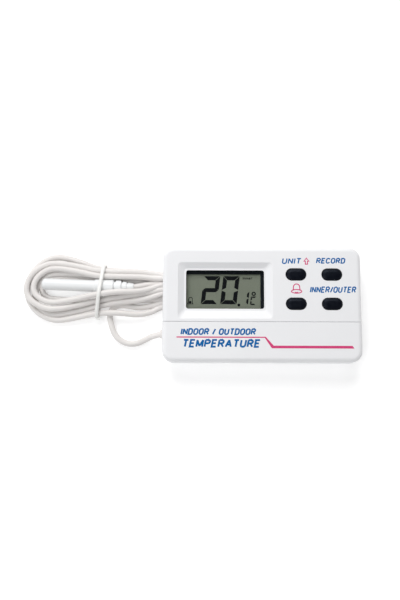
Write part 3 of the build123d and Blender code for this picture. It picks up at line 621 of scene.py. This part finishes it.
def add_bell_symbol():
    """An outlined bell over the alarm key: a domed top on a wide oval rim."""
    (left, right), (bottom, top) = above_key("key_alarm", -2.5, 2.9, 2.3, 5.2)
    middle = (left + right) / 2
    dome_r = (right - left) * 0.3
    dome_y = top - dome_r
    rim_y = bottom + 1.25
    dome = [(middle - dome_r * 1.1, rim_y + 0.9)]
    dome += list(arc((middle, dome_y), dome_r, 180, 0, 14))
    dome += [(middle + dome_r * 1.1, rim_y + 0.9)]
    rim = list(arc((middle, rim_y), (right - left) / 2, 90, 450, 32, squeeze=0.36))[:-1]
    clapper = list(arc((middle, rim_y - 0.15), 0.9, 200, 340, 8, squeeze=0.5))
    bm = bmesh.new()
    high = PRINT_Z + PRINT_THICKNESS
    add_ribbon(bm, dome, 0.52, PRINT_Z, high)
    add_ribbon(bm, rim, 0.52, PRINT_Z, high, closed=True)
    add_ribbon(bm, clapper, 0.4, PRINT_Z, high)
    add_mesh("symbol_bell", bm, pink_ink, "case")


def add_cover_printing():
    """Two lines of lettering and the stripe that steps down between them."""
    cover_z = box_mm("battery_cover")[1].z - 0.01
    print_words("cover_line_1", "INDOOR / OUTDOOR", (-42.8, -3.0), (-16.5, -12.9), cover_z, 0.8, blue_ink,
                "cover", "case_plastic")
    print_words("cover_line_2", "TEMPERATURE", (-42.1, -0.7), (-23.1, -18.6), cover_z, 1.0, blue_ink,
                "cover", "case_plastic")
    thin, thick = 0.62, 1.4
    upper_y, lower_y = -17.6, -22.63
    high = cover_z + PRINT_THICKNESS
    bm = bmesh.new()
    add_prism(bm, [(-44.8, upper_y - thin / 2), (1.3, upper_y - thin / 2), (1.75, upper_y + thin / 2),
                   (-44.8, upper_y + thin / 2)], cover_z, high)
    add_prism(bm, [(1.3, upper_y - thin / 2), (4.9, lower_y - thick / 2), (5.9, lower_y + thick / 2),
                   (1.75, upper_y + thin / 2)], cover_z, high)
    add_prism(bm, [(4.9, lower_y - thick / 2), (47.9, lower_y - thick / 2), (47.0, lower_y + thick / 2),
                   (5.9, lower_y + thick / 2)], cover_z, high)
    add_mesh("cover_stripe", bm, pink_ink, "cover")


# ---------------------------------------------------------------- display

SEGMENTS_OF = {"2": "abged", "0": "abcdef"}
DIGIT_SLANT = tan(radians(6.5))
GLASS_TOP = box_mm("lcd_front_glass")[1].z


def digit_segments(width, height, stroke, gap):
    """The seven segments of an upright digit, from its lower left corner, by letter."""
    half = height / 2
    t, g = stroke, gap
    return {
        "a": [(g, height), (width - g, height), (width - t - g, height - t), (t + g, height - t)],
        "d": [(g, 0), (t + g, t), (width - t - g, t), (width - g, 0)],
        "f": [(0, height - g), (t, height - t - g), (t, half + t / 2 + g), (0, half + g)],
        "e": [(0, g), (0, half - g), (t, half - t / 2 - g), (t, t + g)],
        "b": [(width, height - g), (width, half + g), (width - t, half + t / 2 + g),
              (width - t, height - t - g)],
        "c": [(width, g), (width - t, t + g), (width - t, half - t / 2 - g), (width, half - g)],
        "g": [(g * 1.4, half), (t * 0.6 + g, half + t / 2), (width - t * 0.6 - g, half + t / 2),
              (width - g * 1.4, half), (width - t * 0.6 - g, half - t / 2), (t * 0.6 + g, half - t / 2)],
    }


def slanted(outline, left, bottom, slant=DIGIT_SLANT):
    return [(left + x + y * slant, bottom + y) for x, y in outline]


def add_display():
    low = GLASS_TOP + 0.01
    high = low + PRINT_THICKNESS
    digit_width, digit_height = 8.7, 15.1
    for name, digit, left in (("digit_tens", "2", -32.25), ("digit_units", "0", -21.9)):
        bm = bmesh.new()
        shapes = digit_segments(digit_width, digit_height, 2.2, 0.16)
        for letter in SEGMENTS_OF[digit]:
            add_prism(bm, slanted(shapes[letter], left, 0.5), low, high)
        add_mesh(name, bm, segment_ink, "case")

    bm = bmesh.new()
    add_prism(bm, list(arc((-12.0, 0.1), 0.75, 0, 345, 23)), low, high)
    # the small 1 for tenths: two short bars
    small = digit_segments(3.2, 7.35, 1.1, 0.15)
    for letter in "bc":
        add_prism(bm, slanted(small[letter], -10.35, 0.1), low, high)
    add_mesh("digit_tenths", bm, segment_ink, "case")

    bm = bmesh.new()
    add_ribbon(bm, list(arc((-4.05, 6.15), 0.83, 0, 345, 23)), 0.62, low, high, closed=True)
    unit = digit_segments(3.0, 4.6, 0.75, 0.1)
    for letter in "aefd":
        add_prism(bm, slanted(unit[letter], -6.1, 0.1), low, high)
    add_mesh("degree_symbol", bm, segment_ink, "case")

    print_words("lcd_word", "Inner", (-9.9, -4.7), (13.7, 15.4), low, 0.3, segment_ink, "case", "lcd_glass",
                slant=0.1)

    bell = [(-39.2, 0.6), (-38.8, 1.4), (-38.6, 3.0)]
    bell += list(arc((-37.6, 3.2), 0.95, 170, 10, 8))
    bell += [(-36.7, 3.0), (-36.7, 1.4), (-36.3, 0.6)]
    bm = bmesh.new()
    add_ribbon(bm, bell, 0.36, low, high, closed=True)
    add_prism(bm, list(arc((-37.8, 1.5), 0.7, 0, 345, 12)), low, high)
    add_mesh("lcd_bell", bm, segment_ink, "case")


# ---------------------------------------------------------------- the tie

TIE_WIDTH = 2.2
TIE_THICKNESS = 0.6
TIE_X = -86.6
TIE_LEAN = 0.13
TIE_MIDDLE_Y = 7.8


def add_tie():
    """The band round the hank and the probe's collar, pulled tight over the runs, with its end folded out."""
    over = [
        (23.2, 0.9), (23.2, 3.2), (21.9, 5.9), (18.9, 7.7), (15.2, 8.9), (11.0, 9.7), (7.0, 10.9),
        (2.6, 9.3), (-1.6, 7.4), (-4.6, 5.8), (-5.9, 3.6), (-5.9, 0.9),
    ]
    under = [(-4.6, 0.32), (21.9, 0.32)]
    curve = bpy.data.curves.new("tie_path", "CURVE")
    curve.dimensions = "3D"
    spline = curve.splines.new("NURBS")
    loop = over + under
    spline.points.add(len(loop) - 1)
    for point, (y, z) in zip(spline.points, loop):
        point.co = (*mm(TIE_X + TIE_LEAN * (y - TIE_MIDDLE_Y), y, z), 1)
    spline.order_u = 3
    spline.use_cyclic_u = True
    spline.resolution_u = 6
    holder = bpy.data.objects.new("tie_path", curve)
    bpy.context.scene.collection.objects.link(holder)
    bpy.context.view_layer.update()
    line = [v.co.copy() for v in bpy.data.meshes.new_from_object(holder).vertices]
    bpy.data.objects.remove(holder)

    side = Vector((1, -TIE_LEAN, 0)).normalized()
    count = len(line)
    bm = bmesh.new()
    rings = []
    for i, here in enumerate(line):
        along = (line[(i + 1) % count] - line[i - 1]).normalized()
        out = along.cross(side).normalized()
        middle = sum(line, Vector()) / count
        if out.dot(here - middle) < 0:
            out.negate()
        half, thick = side * TIE_WIDTH * MM / 2, out * TIE_THICKNESS * MM / 2
        crown = out * 0.14 * MM
        rings.append([bm.verts.new(here + offset) for offset in (
            -half - thick, -half * 0.8 + thick, thick + crown, half * 0.8 + thick, half - thick,
        )])
    for i, ring in enumerate(rings):
        after = rings[(i + 1) % count]
        for j in range(len(ring)):
            k = (j + 1) % len(ring)
            bm.faces.new((ring[j], ring[k], after[k], after[j]))
    tie = add_mesh("tie_band", bm, tie_nylon, "case")
    for polygon in tie.data.polygons:
        polygon.use_smooth = True
    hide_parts("hank_tie")

    # the cut end stands out at the lower side
    low_x = TIE_X + TIE_LEAN * (-5.9 - TIE_MIDDLE_Y)
    bm = bmesh.new()
    add_prism(bm, [(low_x - 1.0, -5.4), (low_x + 1.2, -5.2), (low_x + 2.3, -6.4), (low_x + 1.7, -7.3),
                   (low_x - 0.2, -6.9)], 3.6, 4.3)
    end = add_mesh("tie_end", bm, tie_nylon, "case")
    end.modifiers.new("soft_edge", "BEVEL").width = 0.2 * MM
    return tie, end


# ---------------------------------------------------------------- assembly

add_camera()
add_studio()
paint_cad_nodes()

tie_pieces = add_tie()
lead = add_cord_curve("lead_cord", lead_points(), LEAD_DIAMETER, lead_pvc)
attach(lead, "case")
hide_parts("lead_run", "lead_hank", "lead_tail")

for key_name in ("key_units", "key_max_min", "key_alarm", "key_sensor"):
    add_key_pad(key_name)
add_legends()
add_arrow_symbol()
add_bell_symbol()
add_cover_printing()
add_display()
